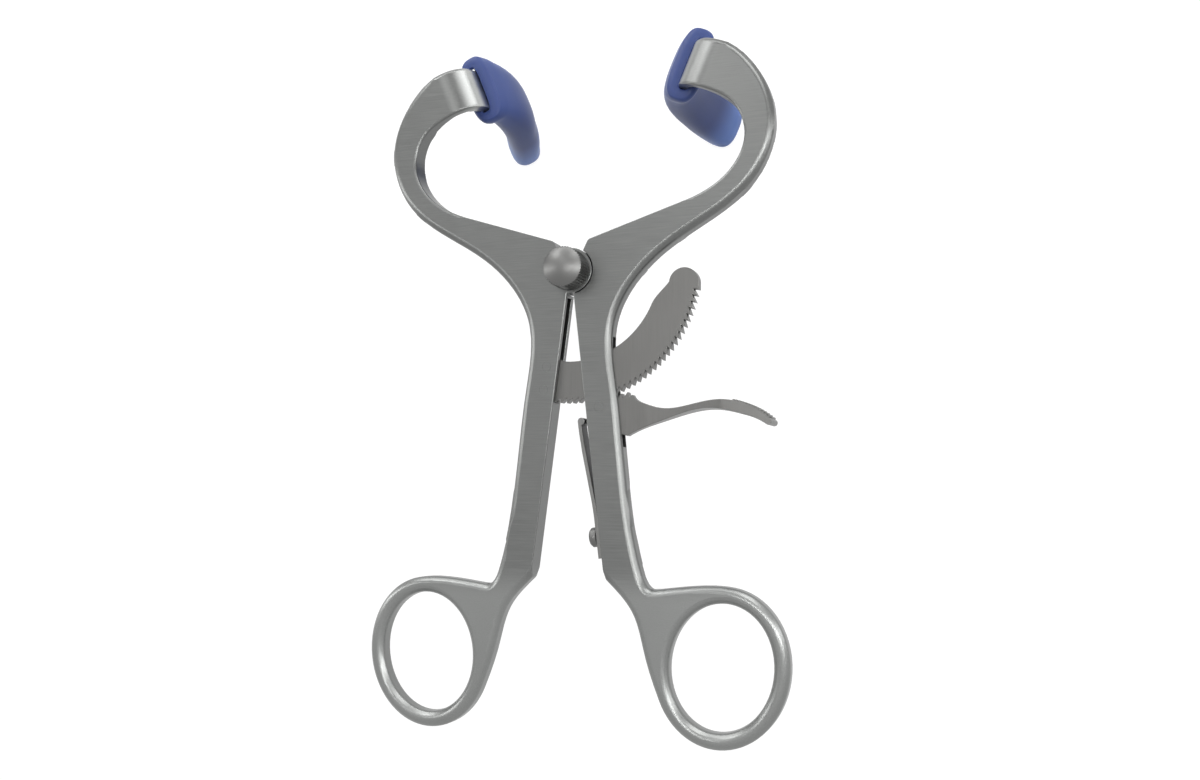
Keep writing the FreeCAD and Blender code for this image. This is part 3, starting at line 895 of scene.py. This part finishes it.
@dataclass
class Studio:
    """Pale floor, white background, soft lamps and the camera."""

    camera_spot: tuple[float, float, float] = (81.35, -44.12, 214.66)
    camera_look: tuple[float, float, float] = (-0.33062, 0.08777, -0.93967)
    camera_up: tuple[float, float, float] = (0.0210, 0.99610, 0.08565)
    camera_clip: Span = (0.005, 20.0)
    photo_width: int = 1200
    focal_pixels: float = 1147.0
    sensor: float = 36.0
    floor_reach: float = 3.0
    floor_drop: float = 0.2
    floor_colour: Colour = (0.90, 0.90, 0.90)
    floor_roughness: float = 0.9
    floor_light: float = 1.15
    shadow_share: float = 0.24
    white: Colour = (1.0, 1.0, 1.0)
    ambient: float = 0.20
    lamps: tuple[Lamp, ...] = (
        Lamp("right_strip", (290, 40, 105), (60, 520), 4.0),
        Lamp("front_strip", (172, 0, 281), (34, 460), 13.0),
        Lamp("left_strip", (-290, 20, 100), (50, 460), 5.0),
        Lamp("top_strip", (-50, 300, 70), (560, 60), 5.0),
        Lamp("bend_softbox", (160, 290, 170), (180, 180), 3.6),
        Lamp("left_bend_softbox", (-200, 264, 185), (110, 110), 7.5),
        Lamp("overhead_softbox", (-80, 205, 364), (130, 130), 2.3))

    def build(self) -> None:
        """Makes the whole studio."""
        self.camera()
        self.floor()
        self.world()
        for lamp in self.lamps:
            lamp.build()

    def camera(self) -> None:
        """Sets the camera at the photograph's viewpoint."""
        data = bpy.data.cameras.new("camera")
        data.sensor_width = self.sensor
        data.lens = self.focal_pixels / self.photo_width * self.sensor
        data.clip_start, data.clip_end = self.camera_clip
        camera = bpy.data.objects.new("camera", data)
        look = Vector(self.camera_look).normalized()
        right = look.cross(Vector(self.camera_up)).normalized()
        turn = Matrix((right, right.cross(look), -look)).transposed()
        camera.matrix_world = Matrix.Translation(place(*self.camera_spot)) @ turn.to_4x4()
        bpy.context.scene.collection.objects.link(camera)
        bpy.context.scene.camera = camera

    def floor(self) -> None:
        """Makes the pale floor, white to the camera apart from the object's shadow."""
        bm = bmesh.new()
        bmesh.ops.create_grid(bm, x_segments=1, y_segments=1, size=self.floor_reach,
                              matrix=Matrix.Translation((0, 0, -self.floor_drop * MM)))
        mesh = bpy.data.meshes.new("floor")
        bm.to_mesh(mesh)
        bm.free()
        floor = bpy.data.objects.new("floor", mesh)
        bpy.context.scene.collection.objects.link(floor)
        nodes = Nodes(bpy.data.materials.new("pale_floor"))
        nodes.dress(Base_Color=self.floor_colour, Roughness=self.floor_roughness)
        lit = Socket(nodes, nodes.shader.outputs[0])
        glow = nodes.node("ShaderNodeEmission", None,
                          {"Color": self.white, "Strength": self.floor_light})
        mixed = nodes.node("ShaderNodeMixShader", None,
                           {0: nodes.seen() * (1.0 - self.shadow_share), 1: lit, 2: glow})
        nodes.feed(nodes.tree.nodes["Material Output"].inputs["Surface"], mixed)
        mesh.materials.append(nodes.owner)

    def world(self) -> None:
        """Makes the world white to the camera and in reflections, and softer as a light."""
        nodes = Nodes(bpy.data.worlds.new("studio_world"), "Background")
        strength = self.ambient + nodes.seen() * (1.0 - self.ambient)
        bpy.context.scene.world = nodes.dress(Color=self.white, Strength=strength)


@dataclass
class MouthGag:
    """The whole instrument, sub-assembly by sub-assembly."""

    arms: list[SteelPiece] = field(default_factory=lambda: [
        SteelPiece(side.word + "_arm", side.word + "_arm", ARM_STEEL, corner=0.14, soft_corner=0.42,
                   hook_corner=0.52, flush=("rack_rivet_1", "rack_rivet_2", "lever_pin"))
        for side in Side])
    ratchet: list[SteelPiece] = field(default_factory=lambda: [
        SteelPiece("ratchet_bar", "left_arm", RATCHET_STEEL, corner=0.06),
        SteelPiece("rack_rivet_1", "left_arm", ARM_STEEL, corner=0.0),
        SteelPiece("rack_rivet_2", "left_arm", ARM_STEEL, corner=0.0),
        SteelPiece("release_lever", "release_lever", RATCHET_STEEL, corner=0.09),
        SteelPiece("lever_pin", "right_arm", ARM_STEEL, corner=0.0)])
    fittings: list[SteelPiece] = field(default_factory=lambda: [
        SteelPiece("thumb_screw", "thumb_screw", SCREW_STEEL, corner=0.0),
        SteelPiece("leaf_spring", "leaf_spring", SPRING_STEEL, corner=0.06),
        SteelPiece("spring_screw", "right_arm", SCREW_STEEL, corner=0.06)])
    sleeves: list[Sleeve] = field(default_factory=lambda: [Sleeve(side) for side in Side])
    ridges: ThumbRidges = field(default_factory=ThumbRidges)

    def build(self) -> Iterable[bpy.types.Object]:
        """Builds every piece in order.

        Yields:
            Each finished piece.
        """
        steels: dict[SteelFinish, bpy.types.Material] = {}
        for piece in (*self.arms, *self.ratchet, *self.fittings):
            if piece.finish not in steels:
                steels[piece.finish] = piece.finish.material()
            yield piece.build(steels[piece.finish])
        silicone = SILICONE.material()
        for sleeve in self.sleeves:
            yield sleeve.build(SILICONE, silicone)
        yield self.ridges.build(steels[RATCHET_STEEL])


def main() -> None:
    """Builds the instrument and the studio, and logs each piece as it is made."""
    logging.basicConfig(level=logging.INFO, format="%(name)s %(message)s")
    bpy.context.scene.view_settings.view_transform = "Standard"
    for piece in MouthGag().build():
        log.info("made %s", piece.name)
    Studio().build()


if __name__ == "__main__":
    main()
